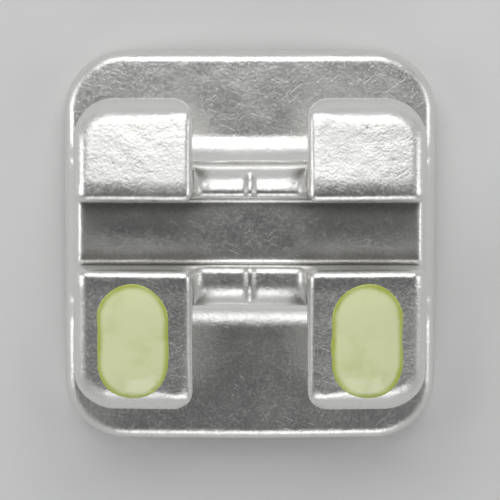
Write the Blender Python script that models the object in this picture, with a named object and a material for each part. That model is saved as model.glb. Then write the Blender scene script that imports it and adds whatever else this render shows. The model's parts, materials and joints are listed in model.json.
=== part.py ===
"""Twin orthodontic bracket for a lower incisor, moulded in one piece, with two enamel marks.

Metres, +Z labial (away from the tooth), X along the archwire slot, +Y occlusal. The bonding pad
stands on Z = 0 with its centre over the origin. The metal body is a union of three forms: the pad
with its foot, lofted upwards, the saddle, and the two tie-wing heads, lofted along the slot. The
slot and the two mark wells are then cut through them.
"""

import math

import bmesh
import bpy

# Bonding pad, as seen from the front, and its fit to the tooth
PAD_WIDTH = 0.00320
PAD_HEIGHT = 0.00335
PAD_THICKNESS = 0.00032
PAD_CORNER_RADIUS = 0.00052
PAD_LABIAL_ROUND = 0.00009
PAD_TOOTH_ROUND = 0.00003
TOOTH_RADIUS_ACROSS = 0.0075
TOOTH_RADIUS_ALONG = 0.016

# Retention grid on the tooth side
RIM_WIDTH = 0.00018
RIM_UNDERCUT = 0.00003
RECESS_DEPTH = 0.00015
PEG_PITCH = 0.00040
PEG_ROOT_DIAMETER = 0.00015
PEG_HEAD_DIAMETER = 0.00025
PEG_HEAD_EDGE = 0.00004

# Archwire slot, .022 by .028 inch
SLOT_HEIGHT = 0.00056
SLOT_DEPTH = 0.00071
SLOT_CORNER_RADIUS = 0.00003
SLOT_MOUTH_ROUND = 0.00008
SLOT_END_ROUND = 0.00008

# Stem between the pad and the slot floor
STEM_HEIGHT = 0.00066
OCCLUSAL_WALL = 0.00027
GINGIVAL_WALL = 0.00036
FOOT_ROUND_ACROSS = 0.00010
FOOT_ROUND_ALONG = 0.00028
FOOT_RISE = 0.00024
NECK_CORNER_RADIUS = 0.00018

# Tie wings
HEAD_WIDTH = 0.00295
CHANNEL_WIDTH = 0.00096
OCCLUSAL_WING = 0.00085
GINGIVAL_WING = 0.00120
WING_ROOT_THICKNESS = 0.00055
WING_TIP_THICKNESS = 0.00046
OCCLUSAL_DROP = 0.00016
GINGIVAL_DROP = 0.00021
FACE_LAND = 0.00012
FACE_BEND_RADIUS = 0.00070
FACE_CROWN_RADIUS = 0.0080
GROOVE_RADIUS = 0.00020
TIP_RADIUS = 0.00022
TIP_UNDER_RADIUS = 0.00014
OUTER_PLAN_RADIUS = 0.00034
INNER_PLAN_RADIUS = 0.00017
OUTER_EDGE_ROUND = 0.00012
INNER_EDGE_ROUND = 0.00008

# Saddle between the twins, with the line that marks the tooth's long axis
SADDLE_RISE = 0.00016
SADDLE_ROUND = 0.00023
SADDLE_FILLET = 0.00012
SCRIBE_WIDTH = 0.00008
SCRIBE_DEPTH = 0.00003

# Enamel marks on the gingival wings
MARK_WIDTH = 0.00056
MARK_LENGTH = 0.00094
WELL_DEPTH = 0.00007
MARK_CLEARANCE = 0.00001
MARK_DOME = 0.00002

# How finely the curves are divided
PEG_SIDES = 12
ARC_STEPS = 4
MARK_STEPS = 7

# Overlaps that let the united forms cross each other cleanly
EMBED = 0.000006
CLEAR = 0.00030
MOUTH_LIFT = 0.000004
WELD = 1e-8

# Places that follow from the sizes above
SLOT_Y = (GINGIVAL_WING - OCCLUSAL_WING) / 2
OCCLUSAL_SLOT_WALL = SLOT_Y + SLOT_HEIGHT / 2
GINGIVAL_SLOT_WALL = SLOT_Y - SLOT_HEIGHT / 2
OCCLUSAL_NECK = OCCLUSAL_SLOT_WALL + OCCLUSAL_WALL
GINGIVAL_NECK = GINGIVAL_SLOT_WALL - GINGIVAL_WALL
OCCLUSAL_TIP = OCCLUSAL_SLOT_WALL + OCCLUSAL_WING
GINGIVAL_TIP = GINGIVAL_SLOT_WALL - GINGIVAL_WING
OCCLUSAL_BEND = OCCLUSAL_SLOT_WALL + FACE_LAND
GINGIVAL_BEND = GINGIVAL_SLOT_WALL - FACE_LAND
NECK_HALF = (OCCLUSAL_NECK - GINGIVAL_NECK) / 2
NECK_Y = (OCCLUSAL_NECK + GINGIVAL_NECK) / 2
HEAD_HALF = HEAD_WIDTH / 2
CHANNEL_HALF = CHANNEL_WIDTH / 2
QUARTER = math.pi / 2


def reset_scene():
    """Remove every object that the scene holds."""
    for item in list(bpy.data.objects):
        bpy.data.objects.remove(item, do_unlink=True)


def make_material(name, colour, metallic, roughness):
    """A Principled BSDF material."""
    material = bpy.data.materials.new(name)
    material.use_nodes = True
    shader = material.node_tree.nodes["Principled BSDF"]
    shader.inputs["Base Color"].default_value = (*colour, 1.0)
    shader.inputs["Metallic"].default_value = metallic
    shader.inputs["Roughness"].default_value = roughness
    material.diffuse_color = (*colour, 1.0)
    return material


def add_object(name, bm, material=None):
    """Turn a bmesh into an object with smooth faces and crisp edges."""
    bmesh.ops.remove_doubles(bm, verts=bm.verts, dist=WELD)
    bmesh.ops.recalc_face_normals(bm, faces=bm.faces)
    mesh = bpy.data.meshes.new(name)
    bm.to_mesh(mesh)
    bm.free()
    mesh.shade_smooth()
    mesh.set_sharp_from_angle(angle=math.radians(35))
    if material:
        mesh.materials.append(material)
    item = bpy.data.objects.new(name, mesh)
    bpy.context.collection.objects.link(item)
    return item


def add_guide(name, bm):
    """An object that only shapes another one."""
    guide = add_object(name, bm)
    guide.hide_render = True
    guide.display_type = "WIRE"
    return guide


def combine(target, guide, operation):
    """Give the target an exact Boolean modifier that reads the guide."""
    modifier = target.modifiers.new(guide.name, "BOOLEAN")
    modifier.operation = operation
    modifier.solver = "EXACT"
    modifier.object = guide


def add_ring(bm, points):
    """A ring of loose vertices."""
    return [bm.verts.new(point) for point in points]


def join_rings(bm, low, high):
    """Quads between two rings of equal length."""
    count = len(low)
    for i in range(count):
        j = (i + 1) % count
        bm.faces.new((low[i], low[j], high[j], high[i]))


def loft(rings):
    """Closed bmesh through rings of points, with a cap on each end."""
    bm = bmesh.new()
    loops = [add_ring(bm, ring) for ring in rings]
    for low, high in zip(loops, loops[1:]):
        join_rings(bm, low, high)
    bm.faces.new(reversed(loops[0]))
    bm.faces.new(loops[-1])
    return bm


def rounded_outline(corners, steps=ARC_STEPS):
    """Closed outline through corners (u, v, radius), with an arc in place of each rounded one.

    Two arcs that would meet on a side share its length in proportion to their size.
    """
    count = len(corners)
    sides = []
    for i, (u, v, _) in enumerate(corners):
        after = corners[(i + 1) % count]
        length = math.hypot(after[0] - u, after[1] - v)
        sides.append((length, (after[0] - u) / length, (after[1] - v) / length))
    half_angles = []
    tangents = []
    for i, (_, _, radius) in enumerate(corners):
        _, back_u, back_v = sides[i - 1]
        _, ahead_u, ahead_v = sides[i]
        half_angles.append(math.acos(-back_u * ahead_u - back_v * ahead_v) / 2)
        tangents.append(radius / math.tan(half_angles[i]))
    shares = []
    for i in range(count):
        wanted = max(tangents[i] + tangents[(i + 1) % count], WELD)
        shares.append(min(1.0, 0.98 * sides[i][0] / wanted))
    outline = []
    for i, (u, v, radius) in enumerate(corners):
        if radius <= 0:
            outline.append((u, v))
            continue
        tangent = tangents[i] * min(shares[i - 1], shares[i])
        arc_radius = tangent * math.tan(half_angles[i])
        reach = arc_radius / math.sin(half_angles[i])
        _, back_u, back_v = sides[i - 1]
        _, ahead_u, ahead_v = sides[i]
        middle = math.hypot(ahead_u - back_u, ahead_v - back_v)
        centre_u = u + (ahead_u - back_u) / middle * reach
        centre_v = v + (ahead_v - back_v) / middle * reach
        start = math.atan2(v - back_v * tangent - centre_v, u - back_u * tangent - centre_u)
        stop = math.atan2(v + ahead_v * tangent - centre_v, u + ahead_u * tangent - centre_u)
        turn = (stop - start + math.pi) % (2 * math.pi) - math.pi
        for k in range(steps + 1):
            angle = start + turn * k / steps
            outline.append((
                centre_u + arc_radius * math.cos(angle),
                centre_v + arc_radius * math.sin(angle),
            ))
    return outline


def quarter_inset(distance, radius):
    """How far a quarter-round of this radius draws a surface in, at a distance from the end."""
    if distance >= radius:
        return 0.0
    return radius - math.sqrt(radius ** 2 - (radius - distance) ** 2)


def end_steps(radius, steps):
    """Distances from an end at which a quarter-round of this radius is sampled."""
    return [radius * (1 - math.cos(QUARTER * k / steps)) for k in range(steps + 1)]


def tooth_drop(x, y):
    """How far the tooth surface falls away from its crown at (x, y)."""
    across = TOOTH_RADIUS_ACROSS - math.sqrt(TOOTH_RADIUS_ACROSS ** 2 - x * x)
    along = TOOTH_RADIUS_ALONG - math.sqrt(TOOTH_RADIUS_ALONG ** 2 - y * y)
    return across + along


def grid_counts():
    """How many pegs fit across and along the recess."""
    columns = int((PAD_WIDTH - 2 * RIM_WIDTH) / PEG_PITCH)
    rows = int((PAD_HEIGHT - 2 * RIM_WIDTH) / PEG_PITCH)
    return columns, rows


def boundary_parameters():
    """Points round the square from -1 to 1, as many as the outer edge of the peg grid has."""
    columns, rows = grid_counts()
    spans = PEG_SIDES // 4
    across = columns * spans
    along = rows * spans
    bottom = [(2 * i / across - 1, -1.0) for i in range(across)]
    right = [(1.0, 2 * i / along - 1) for i in range(along)]
    top = [(1 - 2 * i / across, 1.0) for i in range(across)]
    left = [(-1.0, 1 - 2 * i / along) for i in range(along)]
    return bottom + right + top + left


def rounded_rectangle(half_x, half_y, radius, centre_y=0.0):
    """The boundary parameters laid on a rounded rectangle."""
    core_x = half_x - radius
    core_y = half_y - radius
    points = []
    for u, v in boundary_parameters():
        x, y = u * half_x, v * half_y
        if abs(x) > core_x and abs(y) > core_y:
            over_x, over_y = abs(x) - core_x, abs(y) - core_y
            scale = radius / math.hypot(over_x, over_y)
            x = math.copysign(core_x + over_x * scale, x)
            y = math.copysign(core_y + over_y * scale, y)
        points.append((x, y + centre_y))
    return points


def rim_outline():
    """Outer line of the face that meets the tooth."""
    return rounded_rectangle(
        PAD_WIDTH / 2 - PAD_TOOTH_ROUND, PAD_HEIGHT / 2 - PAD_TOOTH_ROUND, PAD_CORNER_RADIUS - PAD_TOOTH_ROUND
    )


TOOTH_RISE = max(tooth_drop(x, y) for x, y in rim_outline())
PAD_FACE_Z = TOOTH_RISE + PAD_THICKNESS
SLOT_FLOOR_Z = PAD_FACE_Z + STEM_HEIGHT
FACE_Z = SLOT_FLOOR_Z + SLOT_DEPTH
GROOVE_Z = FACE_Z - WING_ROOT_THICKNESS
STEM_BOTTOM_Z = PAD_FACE_Z - tooth_drop(HEAD_HALF, OCCLUSAL_NECK) + FOOT_RISE / 4


def on_tooth(points, height):
    """Lay flat points on the tooth surface, raised by a height."""
    return [(x, y, TOOTH_RISE - tooth_drop(x, y) + height) for x, y in points]


def peg_cell(bm, centre_x, centre_y, frame):
    """One undercut peg on its square of recess floor.

    frame maps a point of the cell's edge to its place, so that the outer cells follow the
    rounded corners of the recess.
    """
    spans = PEG_SIDES // 4
    half = PEG_PITCH / 2
    edge = []
    for corner in range(4):
        for k in range(spans):
            along = 2 * k / spans - 1
            u, v = ((along, -1), (1, along), (-along, 1), (-1, -along))[corner]
            edge.append(frame(centre_x + u * half, centre_y + v * half))
    start = -3 * QUARTER / 2

    def circle(diameter, height):
        turns = [start + 4 * QUARTER * k / PEG_SIDES for k in range(PEG_SIDES)]
        points = [
            (centre_x + diameter / 2 * math.cos(turn), centre_y + diameter / 2 * math.sin(turn)) for turn in turns
        ]
        return add_ring(bm, on_tooth(points, height))

    rings = [
        add_ring(bm, on_tooth(edge, RECESS_DEPTH)),
        circle(PEG_ROOT_DIAMETER, RECESS_DEPTH),
        circle(PEG_HEAD_DIAMETER, PEG_HEAD_EDGE),
        circle(PEG_HEAD_DIAMETER, 0.0),
    ]
    for outer, inner in zip(rings, rings[1:]):
        join_rings(bm, inner, outer)
    bm.faces.new(reversed(rings[-1]))


def add_peg_grid(bm):
    """The recess floor with all its pegs."""
    columns, rows = grid_counts()
    half_x = columns * PEG_PITCH / 2
    half_y = rows * PEG_PITCH / 2
    corner = PEG_PITCH / 2

    def frame(x, y):
        over_x, over_y = abs(x) - (half_x - corner), abs(y) - (half_y - corner)
        on_edge = max(abs(x) - half_x, abs(y) - half_y) > -WELD
        if on_edge and over_x > 0 and over_y > 0:
            scale = corner / math.hypot(over_x, over_y)
            x = math.copysign(half_x - corner + over_x * scale, x)
            y = math.copysign(half_y - corner + over_y * scale, y)
        return x, y

    for row in range(rows):
        for column in range(columns):
            centre_x = (column + 0.5) * PEG_PITCH - half_x
            centre_y = (row + 0.5) * PEG_PITCH - half_y
            peg_cell(bm, centre_x, centre_y, frame)
    return rounded_rectangle(half_x, half_y, corner)


def pad_and_foot():
    """Bonding pad with its retention grid, and the foot that flares up into the neck."""
    bm = bmesh.new()
    half_x, half_y = PAD_WIDTH / 2, PAD_HEIGHT / 2
    recess_x, recess_y = half_x - RIM_WIDTH, half_y - RIM_WIDTH
    recess_radius = PAD_CORNER_RADIUS - RIM_WIDTH

    def slab(inset, height):
        return on_tooth(rounded_rectangle(half_x - inset, half_y - inset, PAD_CORNER_RADIUS - inset), height)

    floor_edge = add_peg_grid(bm)
    rings = [
        on_tooth(floor_edge, RECESS_DEPTH),
        on_tooth(
            rounded_rectangle(recess_x + RIM_UNDERCUT, recess_y + RIM_UNDERCUT, recess_radius + RIM_UNDERCUT),
            RECESS_DEPTH,
        ),
        on_tooth(rounded_rectangle(recess_x, recess_y, recess_radius), 0.0),
        slab(PAD_TOOTH_ROUND, 0.0),
        slab(0.0, PAD_TOOTH_ROUND),
    ]
    for k in range(ARC_STEPS):
        angle = QUARTER * k / (ARC_STEPS - 1)
        inset = PAD_LABIAL_ROUND * (1 - math.cos(angle))
        rings.append(slab(inset, PAD_THICKNESS - PAD_LABIAL_ROUND * (1 - math.sin(angle))))

    neck_x = HEAD_HALF - 3 * EMBED
    neck_y = NECK_HALF - 2 * EMBED
    for k in range(ARC_STEPS + 2):
        angle = QUARTER * k / (ARC_STEPS + 1)
        spread = 1 - math.sin(angle)
        radius = NECK_CORNER_RADIUS + FOOT_ROUND_ALONG * spread
        points = rounded_rectangle(
            neck_x + FOOT_ROUND_ACROSS * spread, neck_y + FOOT_ROUND_ALONG * spread, radius, NECK_Y
        )
        rings.append(on_tooth(points, PAD_THICKNESS + FOOT_RISE * (1 - math.cos(angle))))
    top = rounded_rectangle(neck_x, neck_y, NECK_CORNER_RADIUS, NECK_Y)
    rings.append([(x, y, (SLOT_FLOOR_Z + STEM_BOTTOM_Z) / 2) for x, y in top])

    loops = [add_ring(bm, ring) for ring in rings]
    for low, high in zip(loops, loops[1:]):
        join_rings(bm, low, high)
    bm.faces.new(loops[-1])
    return bm


def crown_drop(x):
    """How far the labial face falls away at x from the middle of the bracket."""
    return FACE_CROWN_RADIUS - math.sqrt(FACE_CROWN_RADIUS ** 2 - x * x)


def wing_section(inset, tip_inset, drop):
    """Outline across the slot (y, z) of a head, drawn in by the insets of its rounded ends."""

    def convex(radius):
        return max(radius - inset, 0.2 * radius)

    face = FACE_Z - drop - inset
    occlusal_top = face - OCCLUSAL_DROP
    gingival_top = face - GINGIVAL_DROP
    groove = GROOVE_Z - drop + inset
    occlusal_under = FACE_Z - drop - OCCLUSAL_DROP - WING_TIP_THICKNESS + inset
    gingival_under = FACE_Z - drop - GINGIVAL_DROP - WING_TIP_THICKNESS + inset
    return rounded_outline([
        (GINGIVAL_NECK + inset, STEM_BOTTOM_Z, 0.0),
        (OCCLUSAL_NECK - inset, STEM_BOTTOM_Z, 0.0),
        (OCCLUSAL_NECK - inset, groove, GROOVE_RADIUS),
        (OCCLUSAL_TIP - tip_inset, occlusal_under, convex(TIP_UNDER_RADIUS)),
        (OCCLUSAL_TIP - tip_inset, occlusal_top, convex(TIP_RADIUS)),
        (OCCLUSAL_BEND, face, FACE_BEND_RADIUS),
        (GINGIVAL_BEND, face, FACE_BEND_RADIUS),
        (GINGIVAL_TIP + tip_inset, gingival_top, convex(TIP_RADIUS)),
        (GINGIVAL_TIP + tip_inset, gingival_under, convex(TIP_UNDER_RADIUS)),
        (GINGIVAL_NECK + inset, groove, GROOVE_RADIUS),
    ])


def head_stations():
    """Places along the slot, from the channel outwards, at which a head is sampled."""
    inner = [CHANNEL_HALF + step for step in end_steps(INNER_PLAN_RADIUS, ARC_STEPS)]
    outer = [HEAD_HALF - step for step in end_steps(OUTER_PLAN_RADIUS, ARC_STEPS + 2)]
    middle = (inner[-1] + outer[-1]) / 2
    return inner + [middle] + outer[::-1]


def head_edge_inset(x):
    """How far the rounded edges draw the labial face of a head in at x."""
    inner = quarter_inset(max(x - CHANNEL_HALF, 0.0), INNER_EDGE_ROUND)
    outer = quarter_inset(max(HEAD_HALF - x, 0.0), OUTER_EDGE_ROUND)
    return max(inner, outer)


def wing_head(side):
    """One twin: an occlusal and a gingival tie wing on their share of the neck."""
    rings = []
    for x in head_stations():
        inset = head_edge_inset(x)
        plan_inner = quarter_inset(x - CHANNEL_HALF, INNER_PLAN_RADIUS)
        plan_outer = quarter_inset(HEAD_HALF - x, OUTER_PLAN_RADIUS)
        tip_inset = max(plan_inner, plan_outer)
        rings.append([(side * x, y, z) for y, z in wing_section(inset, tip_inset, crown_drop(x))])
    return loft(rings)


def saddle():
    """The low bridge between the twins, with its fillets and the long-axis line."""
    half = CHANNEL_HALF
    stations = [(0.0, 0.0, SCRIBE_DEPTH), (SCRIBE_WIDTH / 2, 0.0, 0.0)]
    for step in reversed(end_steps(SADDLE_FILLET, ARC_STEPS + 1)):
        stations.append((half - step, quarter_inset(step, SADDLE_FILLET), 0.0))
    stations.append((half + INNER_PLAN_RADIUS, SADDLE_FILLET, 0.0))
    mirrored = [(-x, rise, inset) for x, rise, inset in reversed(stations[1:])]
    rings = []
    for x, rise, inset in mirrored + stations:
        top = SLOT_FLOOR_Z + SADDLE_RISE + rise - inset
        low_side = GINGIVAL_NECK + EMBED + inset
        high_side = OCCLUSAL_NECK - EMBED - inset
        outline = rounded_outline([
            (low_side, STEM_BOTTOM_Z, 0.0),
            (high_side, STEM_BOTTOM_Z, 0.0),
            (high_side, top, SADDLE_ROUND),
            (low_side, top, SADDLE_ROUND),
        ], ARC_STEPS + 1)
        rings.append([(x, y, z) for y, z in outline])
    return loft(rings)


def slot_cutter():
    """The archwire slot, with rounded mouth and rounded ends."""
    ends = end_steps(SLOT_END_ROUND, ARC_STEPS)
    outward = [HEAD_HALF - step for step in reversed(ends)] + [HEAD_HALF + CLEAR]
    inner = [x for x in head_stations() if x < outward[0]]
    half_stations = inner + outward
    rings = []
    for x in [-x for x in reversed(half_stations)] + half_stations:
        distance = abs(x)
        flare = quarter_inset(max(HEAD_HALF - distance, 0.0), SLOT_END_ROUND)
        inside = min(distance, HEAD_HALF)
        shelf = FACE_Z - crown_drop(inside) - head_edge_inset(inside) + MOUTH_LIFT
        floor = SLOT_FLOOR_Z - flare
        half = SLOT_HEIGHT / 2 + flare
        wide = half + SLOT_MOUTH_ROUND * 2
        high = FACE_Z + CLEAR
        outline = rounded_outline([
            (SLOT_Y - half, floor, SLOT_CORNER_RADIUS),
            (SLOT_Y + half, floor, SLOT_CORNER_RADIUS),
            (SLOT_Y + half, shelf, SLOT_MOUTH_ROUND),
            (SLOT_Y + wide, shelf, 0.0),
            (SLOT_Y + wide, high, 0.0),
            (SLOT_Y - wide, high, 0.0),
            (SLOT_Y - wide, shelf, 0.0),
            (SLOT_Y - half, shelf, SLOT_MOUTH_ROUND),
        ])
        rings.append([(x, y, z) for y, z in outline])
    return loft(rings)


def gingival_face(x, y):
    """Height of the labial face of the gingival wings at (x, y)."""
    slope = GINGIVAL_DROP / (GINGIVAL_WING - FACE_LAND)
    return FACE_Z - crown_drop(x) - slope * max(GINGIVAL_BEND - y, 0.0)


def mark_outline(side, inset):
    """Obround on a gingival wing, drawn in by an inset."""
    centre_x = side * (CHANNEL_HALF + HEAD_HALF) / 2
    centre_y = (GINGIVAL_BEND + GINGIVAL_TIP + TIP_RADIUS / 2) / 2
    radius = MARK_WIDTH / 2 - inset
    straight = (MARK_LENGTH - MARK_WIDTH) / 2
    points = []
    for end in (1, -1):
        for k in range(MARK_STEPS + 1):
            angle = math.pi * k / MARK_STEPS
            points.append((
                centre_x + end * radius * math.cos(angle),
                centre_y + end * (straight + radius * math.sin(angle)),
            ))
    return points


def on_face(points, height):
    """Lay flat points on the labial face of the gingival wings, raised by a height."""
    return [(x, y, gingival_face(x, y) + height) for x, y in points]


def well_cutter(side):
    """The shallow well that holds a mark."""
    outline = mark_outline(side, 0.0)
    return loft([on_face(outline, -WELL_DEPTH), on_face(outline, CLEAR)])


def enamel_mark(side):
    """Cured enamel, slightly domed, in its well."""
    rings = [
        on_face(mark_outline(side, MARK_CLEARANCE), MARK_CLEARANCE - WELL_DEPTH),
        on_face(mark_outline(side, MARK_CLEARANCE), -MARK_DOME),
    ]
    for share in (0.35, 0.7):
        inset = MARK_CLEARANCE + share * MARK_WIDTH / 2
        rings.append(on_face(mark_outline(side, inset), MARK_DOME * (2 * share - 0.6)))
    return loft(rings)


def main():
    """Build the bracket and its marks."""
    reset_scene()
    steel = make_material("steel", (0.76, 0.76, 0.74), 1.0, 0.28)
    enamel = make_material("enamel", (0.66, 0.74, 0.30), 0.0, 0.30)
    bracket = add_object("bracket", pad_and_foot(), steel)
    combine(bracket, add_guide("saddle_form", saddle()), "UNION")
    for name, side in (("mesial", -1), ("distal", 1)):
        combine(bracket, add_guide(f"head_{name}_form", wing_head(side)), "UNION")
    combine(bracket, add_guide("slot_form", slot_cutter()), "DIFFERENCE")
    for name, side in (("mesial", -1), ("distal", 1)):
        combine(bracket, add_guide(f"well_{name}_form", well_cutter(side)), "DIFFERENCE")
        add_object(f"mark_{name}", enamel_mark(side), enamel)


main()
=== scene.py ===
"""Dresses a twin orthodontic bracket for a lower incisor and lights it for a view from above.

+Z is labial, X runs along the archwire slot and +Y is occlusal. The classes keep their sizes in
millimetres, and each mesh is brought to metres as it is made. The metal body is one moulding, so it
is modelled as a single distance field, whose fillets and rounded edges are then meshed.
"""

import json
import logging
import math
from collections.abc import Callable, Iterable, Sequence
from dataclasses import dataclass
from enum import Enum
from functools import cached_property
from itertools import product

import bpy
import numpy as np
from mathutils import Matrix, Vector

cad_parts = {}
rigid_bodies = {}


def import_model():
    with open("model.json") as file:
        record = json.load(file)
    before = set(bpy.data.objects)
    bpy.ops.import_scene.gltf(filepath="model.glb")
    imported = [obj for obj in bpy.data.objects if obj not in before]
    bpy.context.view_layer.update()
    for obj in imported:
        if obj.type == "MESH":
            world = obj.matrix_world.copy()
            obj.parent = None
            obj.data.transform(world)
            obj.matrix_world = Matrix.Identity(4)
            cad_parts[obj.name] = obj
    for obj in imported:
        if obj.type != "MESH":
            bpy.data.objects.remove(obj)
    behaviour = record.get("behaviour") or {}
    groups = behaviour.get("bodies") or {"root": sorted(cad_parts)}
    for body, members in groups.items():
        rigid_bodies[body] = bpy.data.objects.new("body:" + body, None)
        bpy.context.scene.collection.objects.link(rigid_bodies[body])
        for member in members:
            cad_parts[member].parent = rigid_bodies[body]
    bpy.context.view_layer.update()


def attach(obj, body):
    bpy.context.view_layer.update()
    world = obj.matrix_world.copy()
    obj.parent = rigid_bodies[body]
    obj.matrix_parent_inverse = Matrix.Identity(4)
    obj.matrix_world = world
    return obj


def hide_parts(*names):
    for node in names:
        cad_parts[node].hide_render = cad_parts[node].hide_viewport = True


for leftover in list(bpy.data.objects):
    bpy.data.objects.remove(leftover, do_unlink=True)
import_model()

logging.basicConfig(level=logging.INFO, format="%(levelname)s %(message)s")
log = logging.getLogger("bracket")

MM = 0.001

# A length or an area below this counts as none, and nothing is divided by less
NO_LENGTH = 1e-12

Array = np.ndarray
Pair = tuple[float, float]
Triple = tuple[float, float, float]
Distance = Callable[[Array, Array, Array], Array]
Settings = dict[str, object]
Inputs = dict[int | str, object]
Node = bpy.types.Node
Socket = bpy.types.NodeSocket
Material = bpy.types.Material
Object = bpy.types.Object


class Twin(Enum):
    """The two halves of the bracket, by the side of X that they stand on."""

    MESIAL = -1
    DISTAL = 1


class Slot(Enum):
    """The record's material slots."""

    STEEL = "steel"
    ENAMEL = "enamel"


# Distance field maths


def smooth_step(low: float, high: float, value: Array) -> Array:
    """Ease from 0 at low to 1 at high.

    Args:
        low: Where the ease starts.
        high: Where it ends.
        value: Where it is wanted.

    Returns:
        The eased share, from 0 to 1.
    """
    share = np.clip((value - low) / (high - low), 0.0, 1.0)
    return share * share * (3.0 - 2.0 * share)


def blend(first: Array, second: Array, share: Array) -> Array:
    """Straight mix of two values."""
    return first + (second - first) * share


def round_union(first: Array, second: Array, radius: Array) -> Array:
    """Join two solids with a circular fillet.

    Args:
        first: Distance to one solid.
        second: Distance to the other.
        radius: Fillet radius, which may change from place to place.

    Returns:
        Distance to the joined solid.
    """
    reach = np.hypot(np.maximum(radius - first, 0.0), np.maximum(radius - second, 0.0))
    return np.maximum(radius, np.minimum(first, second)) - reach


def round_overlap(first: Array, second: Array, radius: Array) -> Array:
    """Keep what two solids share, with circular edges.

    Args:
        first: Distance to one solid.
        second: Distance to the other.
        radius: Edge radius, which may change from place to place.

    Returns:
        Distance to the shared solid.
    """
    return -round_union(-first, -second, radius)


def share_of_squares(first: Array, second: Array, least: float = 1e-4) -> Array:
    """Weigh two lengths against each other by their squares, where a negative one counts as none.

    Args:
        first: One length.
        second: The other.
        least: Added to each square, so that the share is a half where both lengths vanish.

    Returns:
        The first one's share, from 0 to 1.
    """
    first_square = np.maximum(first, 0.0) ** 2 + least
    second_square = np.maximum(second, 0.0) ** 2 + least
    return first_square / (first_square + second_square)


def either_side(distance: Distance, points: Array, reach: float) -> list[tuple[Array, Array]]:
    """Read a field on both sides of each point.

    Args:
        distance: The field.
        points: The points, one row each.
        reach: How far to either side it is read.

    Returns:
        For X, Y and Z, the values ahead of the points and behind them.
    """
    shifts = np.eye(3) * reach
    return [(distance(*(points + shift).T), distance(*(points - shift).T)) for shift in shifts]


def rounded_rectangle(u: Array, v: Array, half_u: float, half_v: float, radius: Array) -> Array:
    """Distance to a rectangle about the origin with rounded corners.

    Args:
        u: First coordinate.
        v: Second coordinate.
        half_u: Half of the side along u.
        half_v: Half of the side along v.
        radius: Corner radius.

    Returns:
        Distance, negative inside.
    """
    over_u = np.abs(u) - half_u + radius
    over_v = np.abs(v) - half_v + radius
    outside = np.hypot(np.maximum(over_u, 0.0), np.maximum(over_v, 0.0))
    return outside + np.minimum(np.maximum(over_u, over_v), 0.0) - radius


def rounded_outline(corners: Iterable[Triple], steps: int = 18) -> Array:
    """Closed outline with an arc in place of each rounded corner.

    Args:
        corners: Corner points with their radii, in order.
        steps: Spans in each arc.

    Returns:
        Points of the outline, one row each.
    """
    listed = list(corners)
    outline = []
    for i, (u, v, radius) in enumerate(listed):
        corner = np.array([u, v])
        if radius <= 0.0:
            outline.append(corner)
            continue
        back = np.array(listed[i - 1][:2]) - corner
        ahead = np.array(listed[(i + 1) % len(listed)][:2]) - corner
        back /= np.linalg.norm(back)
        ahead /= np.linalg.norm(ahead)
        half_angle = math.acos(float(np.clip(back @ ahead, -1.0, 1.0))) / 2.0
        centre = corner + (back + ahead) / np.linalg.norm(back + ahead) * radius / math.sin(half_angle)
        tangent = radius / math.tan(half_angle)
        first = corner + back * tangent - centre
        last = corner + ahead * tangent - centre
        start = math.atan2(first[1], first[0])
        turn = (math.atan2(last[1], last[0]) - start + math.pi) % (2.0 * math.pi) - math.pi
        for k in range(steps + 1):
            angle = start + turn * k / steps
            outline.append(centre + radius * np.array([math.cos(angle), math.sin(angle)]))
    return np.array(outline)


class SectionField:
    """Distance to a closed outline in the plane across the slot, kept on a fine grid."""

    def __init__(self, outline: Array, low: Pair, high: Pair, step: float = 0.01) -> None:
        """Measure the outline.

        Args:
            outline: Points of the outline, one row each.
            low: Lowest corner of the grid.
            high: Highest corner of the grid.
            step: Grid spacing.
        """
        self.low = low
        self.step = step
        spans = [np.arange(start, stop, step) for start, stop in zip(low, high)]
        u, v = np.meshgrid(*spans, indexing="ij")
        nearest = np.full(u.shape, np.inf)
        inside = np.zeros(u.shape, bool)
        for (u0, v0), (u1, v1) in zip(outline, np.roll(outline, -1, axis=0)):
            run, rise = u1 - u0, v1 - v0
            length = run * run + rise * rise
            if length < NO_LENGTH:
                continue
            along = np.clip(((u - u0) * run + (v - v0) * rise) / length, 0.0, 1.0)
            nearest = np.minimum(nearest, np.hypot(u - u0 - along * run, v - v0 - along * rise))
            if rise != 0.0:
                crossed = (v0 <= v) != (v1 <= v)
                inside ^= crossed & (u < u0 + (v - v0) * run / rise)
        self.table = self._soften(np.where(inside, -nearest, nearest))

    @staticmethod
    def _soften(table: Array) -> Array:
        """Average neighbours, so that no facet of the outline shows in a reflection."""
        for axis in (0, 1):
            for _ in range(2):
                padded = np.concatenate([table.take([0], axis), table, table.take([-1], axis)], axis)
                length = table.shape[axis]
                before = padded.take(range(0, length), axis)
                after = padded.take(range(2, length + 2), axis)
                table = table * 0.5 + (before + after) * 0.25
        return table

    def __call__(self, u: Array, v: Array) -> Array:
        """Look the distance up.

        Args:
            u: First coordinate.
            v: Second coordinate.

        Returns:
            Distance, negative inside.
        """
        u, v = np.broadcast_arrays(u, v)
        last_u, last_v = self.table.shape[0] - 1.001, self.table.shape[1] - 1.001
        place_u = np.clip((u - self.low[0]) / self.step, 0.0, last_u)
        place_v = np.clip((v - self.low[1]) / self.step, 0.0, last_v)
        i, j = place_u.astype(int), place_v.astype(int)
        share_u, share_v = place_u - i, place_v - j
        near = blend(self.table[i, j], self.table[i + 1, j], share_u)
        far = blend(self.table[i, j + 1], self.table[i + 1, j + 1], share_u)
        return blend(near, far, share_v)


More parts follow.
